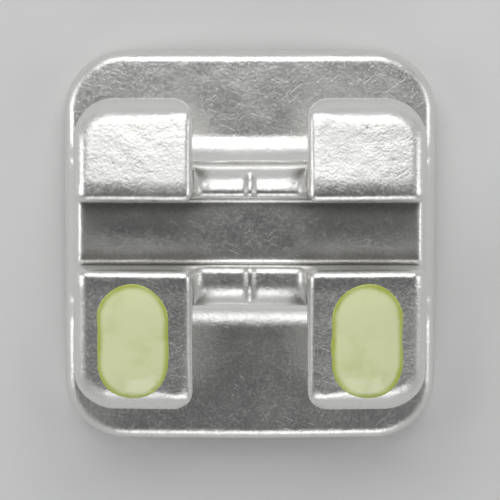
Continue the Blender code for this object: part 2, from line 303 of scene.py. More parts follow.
@dataclass(frozen=True)
class SurfaceNet:
    """Meshes a distance field with quads of one size, drawn on to the true surface."""

    step: float
    settle_rounds: int = 3
    probe: float = 0.01
    margin_cells: float = 2.5
    untangle_rounds: int = 24
    nudge: float = 1e-4
    least_slope: float = 0.05
    longest_move: float = 0.6

    def _slopes(self, distance: Distance, points: Array) -> Array:
        """Slope of the field at each point, one row each."""
        pairs = either_side(distance, points, self.probe)
        return np.stack([(ahead - behind) / (2.0 * self.probe) for ahead, behind in pairs], axis=1)

    @staticmethod
    def _corner(values: Array, offset: Sequence[int]) -> Array:
        """One corner of every cell, counted from its lowest."""
        return values[tuple(slice(near, size - 1 + near) for near, size in zip(offset, values.shape))]

    def _untangle(self, values: Array) -> None:
        """Turn the weakest corner of each cell in which two sheets of the surface would touch.

        Args:
            values: The field at the corners of the grid, changed in place.
        """
        corners = np.array(list(product((0, 1), repeat=3)))
        rings = [np.roll([[0, 0, 0], [1, 0, 0], [1, 1, 0], [0, 1, 0]], turn, axis=1) for turn in range(3)]
        for attempt in range(1, self.untangle_rounds + 1):
            inside = values < 0.0
            count = sum(self._corner(inside, offset).astype(np.int8) for offset in corners)
            weak = []
            for ring in rings:
                a, b, c, d = (self._corner(inside, offset) for offset in ring)
                weak.append((ring, (a == c) & (b == d) & (a != b)))
            for offset in corners[:4]:
                a, b = self._corner(inside, offset), self._corner(inside, 1 - offset)
                weak.append((np.stack([offset, 1 - offset]), (a == b) & (count == np.where(a, 2, 6))))
            turned = []
            for offsets, found in weak:
                places = np.argwhere(found)[:, None, :] + offsets
                size = np.abs(values[tuple(np.moveaxis(places, 2, 0))])
                turned.append(places[np.arange(len(places)), size.argmin(axis=1)])
            spots = tuple(np.concatenate(turned).T)
            if not len(spots[0]):
                break
            values[spots] = np.where(inside[spots], self.nudge, -self.nudge) * attempt

    def _cell_points(self, values: Array, cells: Array) -> Array:
        """Mean place where the surface crosses the edges of each cell, in cell units."""
        total = np.zeros((len(cells), 3))
        hits = np.zeros(len(cells))
        for axis in range(3):
            for b in (0, 1):
                for c in (0, 1):
                    offset = np.zeros(3, int)
                    offset[(axis + 1) % 3], offset[(axis + 2) % 3] = b, c
                    start = cells + offset
                    stop = start.copy()
                    stop[:, axis] += 1
                    low = values[tuple(start.T)]
                    high = values[tuple(stop.T)]
                    crossed = (low < 0.0) != (high < 0.0)
                    share = np.where(crossed, low / np.where(crossed, low - high, 1.0), 0.0)
                    point = np.tile(offset.astype(float), (len(cells), 1))
                    point[:, axis] = share
                    total += point * crossed[:, None]
                    hits += crossed
        return cells + total / hits[:, None]

    @staticmethod
    def _quads(inside: Array, numbers: Array) -> Array:
        """One quad round every grid edge that the surface crosses."""
        faces = []
        for axis in range(3):
            low = inside.take(range(inside.shape[axis] - 1), axis)
            high = inside.take(range(1, inside.shape[axis]), axis)
            edges = np.argwhere(low != high)
            step_b, step_c = np.zeros(3, int), np.zeros(3, int)
            step_b[(axis + 1) % 3], step_c[(axis + 2) % 3] = 1, 1
            around = [edges, edges - step_b, edges - step_b - step_c, edges - step_c]
            quad = np.stack([numbers[tuple(cell.T)] for cell in around], axis=1)
            leaves = low[tuple(edges.T)]
            faces.append(np.where(leaves[:, None], quad, quad[:, ::-1]))
        return np.concatenate(faces)

    def mesh(self, distance: Distance, low: Array, high: Array) -> tuple[Array, Array, Array]:
        """Mesh the field inside a box.

        Args:
            distance: The field.
            low: Lowest corner of the box.
            high: Highest corner of the box.

        Returns:
            Vertices, quads and outward normals.
        """
        before = self.margin_cells * self.step
        after = (self.margin_cells + 0.5) * self.step
        axes = [np.arange(a - before, b + after, self.step) for a, b in zip(low, high)]
        values = distance(*np.meshgrid(*axes, indexing="ij", sparse=True))
        self._untangle(values)
        inside = values < 0.0
        count = sum(self._corner(inside, offset).astype(np.int8) for offset in product((0, 1), repeat=3))
        active = (count > 0) & (count < 8)
        cells = np.argwhere(active)
        numbers = np.full(active.shape, -1)
        numbers[active] = np.arange(len(cells))
        origin = np.array([axis[0] for axis in axes])
        points = self._cell_points(values, cells) * self.step + origin
        for _ in range(self.settle_rounds):
            slope = self._slopes(distance, points)
            steep = np.maximum((slope ** 2).sum(axis=1), self.least_slope)
            move = (-distance(*points.T) / steep)[:, None] * slope
            length = np.linalg.norm(move, axis=1)[:, None]
            longest = self.longest_move * self.step
            points += move * np.minimum(1.0, longest / np.maximum(length, NO_LENGTH))
        slope = self._slopes(distance, points)
        normals = slope / np.maximum(np.linalg.norm(slope, axis=1), NO_LENGTH)[:, None]
        return points, self._quads(inside, numbers), normals


def linked(name: str, data: bpy.types.ID) -> Object:
    """New object of a mesh, a lamp or a camera, linked into the scene."""
    item = bpy.data.objects.new(name, data)
    bpy.context.collection.objects.link(item)
    return item


def to_object(name: str, points: Array, faces: Array, normals: Array) -> Object:
    """Make a smooth object in metres from millimetre points.

    Args:
        name: Name of the object.
        points: Vertices, one row each.
        faces: Vertex numbers of each face, one row each.
        normals: Outward normals of the vertices.

    Returns:
        The linked object, at the origin.
    """
    mesh = bpy.data.meshes.new(name)
    mesh.from_pydata((points * MM).tolist(), [], faces.tolist())
    mesh.validate()
    mesh.shade_smooth()
    mesh.normals_split_custom_set_from_vertices(normals.tolist())
    return linked(name, mesh)


def add_values(item: Object, name: str, values: Array) -> None:
    """Keep one number per vertex under a name that the materials read.

    Args:
        item: The object.
        name: Name of the attribute.
        values: One number per vertex.
    """
    attribute = item.data.attributes.new(name, "FLOAT", "POINT")
    attribute.data.foreach_set("value", values.astype(np.float32))


# Node trees


class Wire:
    """A value in a node tree that takes part in arithmetic; each operation adds its Math node."""

    def __init__(self, graph: "NodeGraph", socket: Socket) -> None:
        """Wrap an output socket.

        Args:
            graph: The tree that the socket is in.
            socket: The output socket.
        """
        self.graph = graph
        self.socket = socket

    def _math(self, operation: str, first: object, second: object) -> "Wire":
        """Add one Math node."""
        inputs = {0: first, 1: second}
        return Wire(self.graph, self.graph.result("ShaderNodeMath", {"operation": operation}, inputs))

    def __add__(self, other: object) -> "Wire":
        """Sum."""
        return self._math("ADD", self, other)

    def __radd__(self, other: object) -> "Wire":
        """Sum with the wire second."""
        return self._math("ADD", other, self)

    def __sub__(self, other: object) -> "Wire":
        """Difference."""
        return self._math("SUBTRACT", self, other)

    def __rsub__(self, other: object) -> "Wire":
        """Difference with the wire second."""
        return self._math("SUBTRACT", other, self)

    def __mul__(self, other: object) -> "Wire":
        """Product."""
        return self._math("MULTIPLY", self, other)

    def __rmul__(self, other: object) -> "Wire":
        """Product with the wire second."""
        return self._math("MULTIPLY", other, self)

    def __truediv__(self, other: object) -> "Wire":
        """Quotient."""
        return self._math("DIVIDE", self, other)

    def __pow__(self, other: object) -> "Wire":
        """Power."""
        return self._math("POWER", self, other)

    def root(self) -> "Wire":
        """Square root."""
        return self._math("SQRT", self, 0.0)

    def eased(self, low: float, high: float) -> "Wire":
        """Ease from 0 at low to 1 at high.

        Args:
            low: Value that gives 0.
            high: Value that gives 1.

        Returns:
            The eased share.
        """
        inputs = {"Value": self, "From Min": low, "From Max": high}
        settings = {"interpolation_type": "SMOOTHSTEP"}
        return Wire(self.graph, self.graph.result("ShaderNodeMapRange", settings, inputs))


class NodeGraph:
    """Adds nodes to a shader or geometry tree."""

    def __init__(self, tree: bpy.types.NodeTree) -> None:
        """Start with an empty tree.

        Args:
            tree: The tree, which loses the nodes that it has.
        """
        self.tree = tree
        tree.nodes.clear()

    @staticmethod
    def _find(sockets: Iterable[Socket], key: int | str) -> Socket:
        """The socket with a number, an identifier or a name."""
        listed = list(sockets)
        if isinstance(key, int):
            return listed[key]
        for socket in listed:
            if socket.identifier == key:
                return socket
        return next(socket for socket in listed if socket.name == key and socket.enabled)

    @staticmethod
    def _apply(target: object, name: str, value: object) -> None:
        """Set one setting; a ramp's stops and a curve's points are given as lists."""
        if name == "stops":
            elements = target.color_ramp.elements
            while len(elements) > 1:
                elements.remove(elements[-1])
            for i, (place, colour) in enumerate(value):
                element = elements[0] if i == 0 else elements.new(place)
                element.position = place
                element.color = (*colour, 1.0)
        elif name == "curve":
            curve = target.mapping.curves[0]
            for i, (place, height) in enumerate(value):
                point = curve.points[i] if i < 2 else curve.points.new(place, height)
                point.location = (place, height)
            target.mapping.update()
        else:
            setattr(target, name, value)

    def node(self, kind: str, settings: Settings | None = None, inputs: Inputs | None = None) -> Node:
        """Add a node.

        Args:
            kind: The node's type.
            settings: Its settings, which are set first.
            inputs: Values or links of its sockets, by number, identifier or name.

        Returns:
            The node.
        """
        node = self.tree.nodes.new(kind)
        for name, value in (settings or {}).items():
            self._apply(node, name, value)
        for key, value in (inputs or {}).items():
            socket = self._find(node.inputs, key)
            if isinstance(value, Wire):
                self.tree.links.new(value.socket, socket)
            elif isinstance(value, Socket):
                self.tree.links.new(value, socket)
            else:
                socket.default_value = value
        return node

    def output(self, node: Node, key: int | str) -> Wire:
        """A node's output as a wire."""
        return Wire(self, self._find(node.outputs, key))

    def result(self, kind: str, settings: Settings | None = None, inputs: Inputs | None = None) -> Socket:
        """Add a node, as node does, and hand over its first output."""
        return self.node(kind, settings, inputs).outputs[0]

    def vector(self, **parts: Wire | float) -> Socket:
        """A vector from the parts X, Y and Z that are given."""
        return self.result("ShaderNodeCombineXYZ", {}, parts)


class Surface(NodeGraph):
    """The shader tree of one material, in the maker's terms."""

    def __init__(self, name: str) -> None:
        """Make the material.

        Args:
            name: Name of the material.
        """
        self.material = bpy.data.materials.new(name)
        self.material.use_nodes = True
        super().__init__(self.material.node_tree)
        place = self.node("ShaderNodeTexCoord").outputs["Object"]
        scaling = {0: place, "Scale": 1 / MM}
        self.place = self.result("ShaderNodeVectorMath", {"operation": "SCALE"}, scaling)

    def stretched(self, turn: Triple, stretch: Triple) -> Socket:
        """The place in millimetres, turned and then stretched.

        Args:
            turn: Turn about each axis, in degrees.
            stretch: Factor along each axis.

        Returns:
            The vector socket.
        """
        angles = tuple(math.radians(angle) for angle in turn)
        settings = {"rotation_type": "EULER_XYZ"}
        turned = self.result("ShaderNodeVectorRotate", settings, {"Vector": self.place, "Rotation": angles})
        return self.result("ShaderNodeVectorMath", {"operation": "MULTIPLY"}, {0: turned, 1: stretch})

    def noise(self, scale: float, detail: float = 3.0, place: Socket | None = None) -> Wire:
        """Cloudy noise.

        Args:
            scale: Features per millimetre.
            detail: How many finer layers it has.
            place: Where it is read, or None for the plain place.

        Returns:
            Values about 0.5.
        """
        inputs = {"Vector": place or self.place, "Scale": scale, "Detail": detail}
        return Wire(self, self.result("ShaderNodeTexNoise", {}, inputs))

    def cells(self, scale: float) -> Wire:
        """Distance to the nearest of scattered points.

        Args:
            scale: Points per millimetre.

        Returns:
            Values from 0 at a point.
        """
        node = self.node("ShaderNodeTexVoronoi", {}, {"Vector": self.place, "Scale": scale})
        return self.output(node, "Distance")

    def attribute(self, name: str) -> Wire:
        """A number kept on the mesh."""
        node = self.node("ShaderNodeAttribute", {"attribute_name": name})
        return self.output(node, "Fac")

    def mixed(self, share: Wire | float, first: object, second: object) -> Socket:
        """Mix two colours.

        Args:
            share: How much of the second there is.
            first: A colour, or a socket.
            second: A colour, or a socket.

        Returns:
            The colour socket.
        """
        colours = [(*value, 1.0) if isinstance(value, tuple) else value for value in (first, second)]
        inputs = {"Factor_Float": share, "A_Color": colours[0], "B_Color": colours[1]}
        node = self.node("ShaderNodeMix", {"data_type": "RGBA"}, inputs)
        return self._find(node.outputs, "Result_Color")

    def bumped(self, height: Wire, depth: float, below: Socket | None = None) -> Socket:
        """Normals of a fine relief.

        Args:
            height: Relief, from 0 to 1.
            depth: Its depth in millimetres.
            below: Normal of a coarser relief under it.

        Returns:
            The normal socket.
        """
        inputs = {"Height": height, "Distance": depth * MM, "Strength": 1.0}
        if below is not None:
            inputs["Normal"] = below
        return self.result("ShaderNodeBump", {}, inputs)

    def finish(self, **inputs: object) -> Material:
        """Close the tree with the principled shader.

        Args:
            **inputs: Its sockets, with underscores for spaces.

        Returns:
            The material.
        """
        named = {key.replace("_", " "): value for key, value in inputs.items()}
        shader = self.result("ShaderNodeBsdfPrincipled", {}, named)
        self.node("ShaderNodeOutputMaterial", {}, {"Surface": shader})
        return self.material


# Finishes


@dataclass(frozen=True)
class TumbledSteel:
    """Sintered stainless steel after media tumbling: satin flats, brighter edges, and hollows that are
    duller and darkened with painted shade.

    Scales are features per millimetre, depths are in millimetres and turns in degrees.
    """

    bright: Triple = (0.82, 0.815, 0.795)
    # Dark steel for the hollows: painted shade where the mesh is sheltered, also reached by the real
    # mottle, pits and marks
    dull_and_shade: Triple = (0.30, 0.294, 0.275)
    roughness: float = 0.285
    cloud_scale: float = 2.6
    grain_scale: float = 44.0
    peel_scale: float = 8.0
    pit_scale: float = 8.0
    peel_depth: float = 0.0036
    grain_depth: float = 0.0016
    mark_depth: float = 0.0004
    mark_turns: tuple[Triple, ...] = ((0.0, 0.0, 24.0), (25.0, 10.0, -38.0), (-20.0, 30.0, 81.0))
    mark_stretch: Triple = (4.0, 75.0, 30.0)

    def build(self) -> Material:
        """Make the material.

        Returns:
            The material.
        """
        s = Surface("tumbled_steel")
        edge = s.attribute("edge")
        shelter = s.attribute("shelter")
        cloud = s.noise(self.cloud_scale, 4.0)
        grain = s.noise(self.grain_scale, 3.0)
        peel = s.noise(self.peel_scale, 2.0)
        sparse = s.noise(3.1, 1.0).eased(0.50, 0.66)
        pits = (1.0 - s.cells(self.pit_scale).eased(0.05, 0.13)) * sparse
        marks = self._scratches(s)
        mottle = (cloud - 0.5) * 0.60 + (grain - 0.5) * 0.50
        # Painted shade: the dark steel is mixed in where the mesh is sheltered from open air, on top of the
        # real mottle, pits and scratches, while edges are rubbed brighter
        dull_and_shade_share = (shelter * 1.05 + mottle + pits * 0.50 + marks * 0.12 - edge * 0.20).eased(0.0, 1.0)
        colour = s.mixed(dull_and_shade_share, self.bright, self.dull_and_shade)
        roughness = (
            self.roughness
            + cloud.eased(0.35, 0.75) * 0.07
            + grain.eased(0.35, 0.75) * 0.10
            + shelter * 0.18
            + pits * 0.15
            + marks * 0.03
        )
        relief = s.bumped(peel, self.peel_depth)
        relief = s.bumped(grain, self.grain_depth, relief)
        relief = s.bumped(pits * -3.0 - marks, self.mark_depth, relief)
        return s.finish(Base_Color=colour, Metallic=1.0, Roughness=roughness, Normal=relief)

    def _scratches(self, s: Surface) -> Wire:
        """Short fine marks that the tumbling media left, in a few directions."""
        total: Wire | None = None
        for turn in self.mark_turns:
            lines = s.noise(1.0, 1.0, s.stretched(turn, self.mark_stretch)).eased(0.66, 0.76)
            total = lines if total is None else total + lines
        return total


@dataclass(frozen=True)
class CuredEnamel:
    """Yellow-green enamel that was dropped into its well and cured, with scales and depths as above; its
    paler middle is partly painted highlight.
    """

    # Paler than the enamel's body colour: partly painted highlight on the dome
    light: Triple = (0.86, 0.905, 0.54)
    deep: Triple = (0.50, 0.57, 0.11)
    roughness: float = 0.16
    cloud_scale: float = 5.0
    pigment_scale: float = 60.0
    speck_scale: float = 16.0
    flow_scale: float = 9.0
    flow_depth: float = 0.0030
    speck_depth: float = 0.0010

    def build(self) -> Material:
        """Make the material.

        Returns:
            The material.
        """
        s = Surface("cured_enamel")
        rim = s.attribute("rim")
        cloud = s.noise(self.cloud_scale, 3.0)
        pigment = s.noise(self.pigment_scale, 2.0).eased(0.62, 0.72)
        specks = 1.0 - s.cells(self.speck_scale).eased(0.06, 0.14)
        # Deeper at the rim and paler in the middle: the pale middle is partly painted highlight, on top of
        # the real clouds and pigment
        share = (rim * 0.9 + cloud.eased(0.35, 0.8) * 0.35 + pigment * 0.12).eased(0.0, 1.0)
        colour = s.mixed(share, self.light, self.deep)
        roughness = self.roughness + (cloud - 0.5) * 0.10 + pigment * 0.06 + specks * 0.10
        relief = s.bumped(s.noise(self.flow_scale, 2.0), self.flow_depth)
        relief = s.bumped(specks * -1.0, self.speck_depth, relief)
        return s.finish(
            Base_Color=colour,
            Roughness=roughness,
            Normal=relief,
            IOR=1.52,
            Coat_Weight=0.35,
            Coat_Roughness=0.08,
        )


@dataclass(frozen=True)
class PaleCard:
    """Matt pale card that the bracket stands on."""

    colour: Triple = (0.80, 0.80, 0.795)
    darkest: float = 0.97
    roughness: float = 0.75
    cloud_scale: float = 0.35

    def build(self) -> Material:
        """Make the material, which is clear from behind, so that the pad's underside can be seen.

        Returns:
            The material.
        """
        s = Surface("pale_card")
        cloud = s.noise(self.cloud_scale, 2.0)
        darker = tuple(self.darkest * part for part in self.colour)
        colour = s.mixed(cloud.eased(0.3, 0.7), self.colour, darker)
        card = s.result("ShaderNodeBsdfPrincipled", {}, {"Base Color": colour, "Roughness": self.roughness})
        clear = s.result("ShaderNodeBsdfTransparent")
        behind = s.node("ShaderNodeNewGeometry").outputs["Backfacing"]
        mix = s.result("ShaderNodeMixShader", {}, {0: behind, 1: card, 2: clear})
        s.node("ShaderNodeOutputMaterial", {}, {"Surface": mix})
        return s.material


# The moulded body


@dataclass(frozen=True)
class ToothCurve:
    """The doubly curved tooth face that the pad is hollowed to fit."""

    across: float = 7.5
    along: float = 16.0
    rise: float = 0.2147

    def height(self, x: Array, y: Array) -> Array:
        """Height of the tooth face above the card.

        Args:
            x: Place across the tooth.
            y: Place along the tooth.

        Returns:
            The height.
        """
        drop_across = self.across - np.sqrt(self.across ** 2 - x * x)
        drop_along = self.along - np.sqrt(self.along ** 2 - y * y)
        return self.rise - drop_across - drop_along

    def steepness(self, x: Array, y: Array) -> Array:
        """How much longer a step over the tooth face is than its plan.

        Args:
            x: Place across the tooth.
            y: Place along the tooth.

        Returns:
            The ratio, 1 where the face is level.
        """
        slope_across = x * x / (self.across ** 2 - x * x)
        slope_along = y * y / (self.along ** 2 - y * y)
        return np.sqrt(1.0 + slope_across + slope_along)


@dataclass(frozen=True)
class BondingPad:
    """The plate that is bonded to the tooth, with its recess for the adhesive."""

    tooth: ToothCurve
    half_width: float = 1.60
    half_height: float = 1.675
    thickness: float = 0.32
    corner: float = 0.52
    labial_round: float = 0.09
    tooth_round: float = 0.03
    rim: float = 0.18
    rim_undercut: float = 0.03
    recess_depth: float = 0.15
    floor_round: float = 0.03
    mouth_round: float = 0.02
    side_ease: Pair = (0.35, 0.65)

    def distance(self, x: Array, y: Array, z: Array) -> Array:
        """Distance to the pad, without its pegs.

        Args:
            x: Place across the tooth.
            y: Place along the tooth.
            z: Height above the card.

        Returns:
            Distance, negative inside.
        """
        height = z - self.tooth.height(x, y)
        steepness = self.tooth.steepness(x, y)
        plan = rounded_rectangle(x, y, self.half_width, self.half_height, self.corner)
        half = self.thickness / 2
        slab = (np.abs(height - half) - half) / steepness
        side = smooth_step(*(part * self.thickness for part in self.side_ease), height)
        plate = round_overlap(plan, slab, blend(self.tooth_round, self.labial_round, side))
        lean = self.rim_undercut * np.clip(height / self.recess_depth, 0.0, 1.0)
        inner_sizes = (size - self.rim for size in (self.half_width, self.half_height, self.corner))
        opening = rounded_rectangle(x, y, *inner_sizes)
        recess = round_overlap(opening - lean, (height - self.recess_depth) / steepness, self.floor_round)
        return round_overlap(plate, -recess, self.mouth_round)


@dataclass(frozen=True)
class Layout:
    """The places along Y and Z that the parts above the pad share."""

    slot_y: float = 0.175
    slot_half: float = 0.28
    slot_floor: float = 1.1947
    face: float = 1.9047
    base: float = 0.25
    occlusal_neck: float = 0.725
    gingival_neck: float = -0.465
    occlusal_tip: float = 1.305
    gingival_tip: float = -1.305
    head_half: float = 1.475
    channel_half: float = 0.48
    crown: float = 8.0

    def crown_drop(self, x: Array) -> Array:
        """How far the labial face falls away at x from the middle of the bracket."""
        return self.crown - np.sqrt(self.crown ** 2 - x * x)

    def neck_depth(self, y: Array) -> Array:
        """How far y lies outside the two long walls of the neck, negative between them."""
        return np.maximum(y - self.occlusal_neck, self.gingival_neck - y)


@dataclass(frozen=True)
class TieWings:
    """The twin heads: four wings with ligature grooves under them, on their share of the neck."""

    layout: Layout
    root_thickness: float = 0.55
    tip_thickness: float = 0.46
    occlusal_drop: float = 0.16
    gingival_drop: float = 0.21
    land: float = 0.12
    bend_radius: float = 0.70
    groove_radius: float = 0.20
    tip_round: float = 0.22
    tip_under_round: float = 0.14
    outer_plan: float = 0.34
    inner_plan: float = 0.17
    outer_edge: float = 0.12
    inner_edge: float = 0.08
    side_ease: float = 0.12
    height_ease: float = 0.08
    beyond: float = 0.5
    grid: tuple[Pair, Pair] = ((-2.0, 0.0), (2.0, 2.4))

    @property
    def gingival_bend(self) -> float:
        """Where the labial face of the gingival wings starts to slope."""
        return self.layout.slot_y - self.layout.slot_half - self.land

    @property
    def gingival_slope(self) -> float:
        """Slope of the labial face of the gingival wings."""
        return self.gingival_drop / (self.gingival_bend - self.layout.gingival_tip)

    @cached_property
    def section(self) -> SectionField:
        """The wings across the slot, drawn on past their tips, with the neck under them."""
        lay = self.layout
        occlusal_bend = lay.slot_y + lay.slot_half + self.land
        gingival_bend = self.gingival_bend
        groove = lay.face - self.root_thickness
        top_slope = self.occlusal_drop / (lay.occlusal_tip - occlusal_bend)
        low_slope = self.gingival_slope
        top_loss = self.root_thickness - self.occlusal_drop - self.tip_thickness
        low_loss = self.root_thickness - self.gingival_drop - self.tip_thickness
        top_under = top_loss / (lay.occlusal_tip - lay.occlusal_neck)
        low_under = low_loss / (lay.gingival_neck - lay.gingival_tip)
        occlusal_end = lay.occlusal_tip + self.beyond
        gingival_end = lay.gingival_tip - self.beyond
        outline = rounded_outline([
            (lay.gingival_neck, lay.base, 0.0),
            (lay.occlusal_neck, lay.base, 0.0),
            (lay.occlusal_neck, groove, self.groove_radius),
            (occlusal_end, groove + top_under * (occlusal_end - lay.occlusal_neck), 0.0),
            (occlusal_end, lay.face - top_slope * (occlusal_end - occlusal_bend), 0.0),
            (occlusal_bend, lay.face, self.bend_radius),
            (gingival_bend, lay.face, self.bend_radius),
            (gingival_end, lay.face - low_slope * (gingival_bend - gingival_end), 0.0),
            (gingival_end, groove + low_under * (lay.gingival_neck - gingival_end), 0.0),
            (lay.gingival_neck, groove, self.groove_radius),
        ])
        return SectionField(outline, *self.grid)

    def gingival_face(self, x: Array, y: Array) -> Array:
        """Height of the labial face of the gingival wings.

        Args:
            x: Place along the slot.
            y: Place along the tooth.

        Returns:
            The height above the card.
        """
        past = np.maximum(self.gingival_bend - y, 0.0)
        return self.layout.face - self.layout.crown_drop(x) - self.gingival_slope * past

    def distance(self, x: Array, y: Array, z: Array) -> Array:
        """Distance to both heads.

        Args:
            x: Place along the slot.
            y: Place along the tooth.
            z: Height above the card.

        Returns:
            Distance, negative inside.
        """
        lay = self.layout
        reach = np.abs(x)
        crowned = z + lay.crown_drop(np.minimum(reach, lay.head_half))
        section = self.section(y, crowned)
        half_x = (lay.head_half - lay.channel_half) / 2
        half_y = (lay.occlusal_tip - lay.gingival_tip) / 2
        off_x = reach - (lay.head_half + lay.channel_half) / 2
        off_y = y - (lay.occlusal_tip + lay.gingival_tip) / 2
        outer = smooth_step(-self.side_ease, self.side_ease, off_x)
        plan_round = blend(self.inner_plan, self.outer_plan, outer)
        plan = rounded_rectangle(off_x, off_y, half_x, half_y, plan_round)
        at_tip = share_of_squares(half_x - np.abs(off_x), half_y - np.abs(off_y))
        drop = np.where(y > lay.slot_y, self.occlusal_drop, self.gingival_drop)
        above_middle = crowned - lay.face + drop + self.tip_thickness / 2
        upper = smooth_step(-self.height_ease, self.height_ease, above_middle)
        tip_edge = blend(self.tip_under_round, self.tip_round, upper)
        side_edge = blend(self.inner_edge, self.outer_edge, outer)
        return round_overlap(section, plan, blend(side_edge, tip_edge, at_tip))


@dataclass(frozen=True)
class Saddle:
    """The low bridge between the twins, with the line that marks the tooth's long axis."""

    layout: Layout
    rise: float = 0.16
    round_over: float = 0.23
    line_depth: float = 0.032
    line_width: float = 0.042
    line_fade: Pair = (0.02, 0.11)
    inset: float = 0.006
    overlap: float = 0.17

    def distance(self, x: Array, y: Array, z: Array) -> Array:
        """Distance to the bridge.

        Args:
            x: Place along the slot.
            y: Place along the tooth.
            z: Height above the card.

        Returns:
            Distance, negative inside.
        """
        lay = self.layout
        neck = lay.neck_depth(y)
        block = round_overlap(neck + self.inset, z - lay.slot_floor - self.rise, self.round_over)
        fade = smooth_step(*self.line_fade, -neck)
        scribed = block + fade * self.line_depth * np.exp(-((x / self.line_width) ** 2))
        return np.maximum(scribed, np.maximum(np.abs(x) - lay.channel_half - self.overlap, lay.base - z))


@dataclass(frozen=True)
class ArchwireSlot:
    """The channel for the archwire, with eased mouth and ends."""

    layout: Layout
    corner: float = 0.05
    ease: float = 0.075

    def cut(self, body: Array, y: Array, z: Array) -> Array:
        """Cut the slot through a body.

        Args:
            body: Distance to the body.
            y: Place along the tooth.
            z: Height above the card.

        Returns:
            Distance to the body that is left.
        """
        walls = np.abs(y - self.layout.slot_y) - self.layout.slot_half
        channel = round_overlap(walls, self.layout.slot_floor - z, self.corner)
        return round_overlap(body, -channel, self.ease)


@dataclass(frozen=True)
class EnamelMark:
    """One coloured mark in its well on a gingival wing, which tells the bracket's tooth."""

    wings: TieWings
    twin: Twin
    radius: float = 0.28
    straight: float = 0.19
    centre_x: float = 0.9775
    centre_y: float = -0.71
    well_depth: float = 0.07
    crown: float = 0.040
    overflow: float = 0.020
    tuck: float = 0.012
    floor_round: float = 0.015
    dome_reach: float = 0.13
    unevenness: float = 0.0020
    wobble: Pair = (0.0035, 0.0025)
    lift: float = 0.008
    edge_round: float = 0.018
    sink: float = 0.020
    side_gap: float = 0.003
    floor_gap: float = 0.004
    rim_width: float = 0.07
    room_beside: float = 0.04
    room_below: float = 0.24
    room_above: float = 0.18
    net: SurfaceNet = SurfaceNet(step=0.0125, settle_rounds=2, probe=0.004)

    @property
    def middle_x(self) -> float:
        """The mark's own place along the slot."""
        return self.twin.value * self.centre_x

    def outline(self, x: Array, y: Array) -> Array:
        """Distance in plan to the obround of the mark.

        Args:
            x: Place along the slot.
            y: Place along the tooth.

        Returns:
            Distance, negative inside.
        """
        past = np.maximum(np.abs(y - self.centre_y) - self.straight, 0.0)
        return np.hypot(x - self.middle_x, past) - self.radius

    def well(self, x: Array, y: Array, z: Array) -> Array:
        """Distance to the well that holds the mark, whose wall is tucked a little under the drop."""
        floor = self.wings.gingival_face(x, y) - self.well_depth
        return round_overlap(self.outline(x, y) + self.tuck, floor - z, self.floor_round)

    def distance(self, x: Array, y: Array, z: Array) -> Array:
        """Distance to the cured drop.

        Args:
            x: Place along the slot.
            y: Place along the tooth.
            z: Height above the card.

        Returns:
            Distance, negative inside.
        """
        plan = self.outline(x, y) - self.overflow + self._wobble(x, y)
        inward = np.maximum(-plan, 0.0)
        dome = self.crown * (1.0 - np.exp(-((inward / self.dome_reach) ** 2)))
        uneven = self.unevenness * np.sin(9.1 * x + 2.3 * self.twin.value) * np.cos(7.3 * y + 0.8)
        wing = self.wings.distance(x, y, z)
        top = round_overlap(plan, wing - self.lift - dome - uneven, self.edge_round)
        drop = np.maximum(top, -self.sink - wing)
        floor = self.wings.gingival_face(x, y) - self.well_depth - self.floor_gap
        root = np.maximum(self.outline(x, y) + self.tuck - self.side_gap, np.maximum(wing, floor - z))
        return np.minimum(drop, root)

    def _wobble(self, x: Array, y: Array) -> Array:
        """How unevenly the drop crept over the rim of its well."""
        turn = np.arctan2(y - self.centre_y, x - self.middle_x)
        slow = np.sin(3.0 * turn + 1.3 * self.twin.value)
        return self.wobble[0] * slow + self.wobble[1] * np.sin(7.0 * turn + 0.6)

    def build(self, finish: Material) -> Object:
        """Mesh and dress the mark in place of its CAD node.

        Args:
            finish: The enamel.

        Returns:
            The piece.
        """
        node = f"mark_{self.twin.name.lower()}"
        middle = np.array([self.middle_x, self.centre_y])
        reach = np.array([self.radius, self.radius + self.straight]) + self.room_beside
        face = self.wings.gingival_face(*middle)
        low = np.array([*(middle - reach), face - self.room_below])
        high = np.array([*(middle + reach), face + self.room_above])
        points, faces, normals = self.net.mesh(self.distance, low, high)
        item = to_object(f"enamel_{node}", points, faces, normals)
        inward = self.overflow - self.outline(points[:, 0], points[:, 1])
        # The enamel is mixed deeper towards this rim, around its paler middle, which is partly painted
        # highlight
        add_values(item, "rim", 1.0 - smooth_step(0.0, self.rim_width, inward))
        item.data.materials.append(finish)
        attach(item, "root")
        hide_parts(node)
        return item


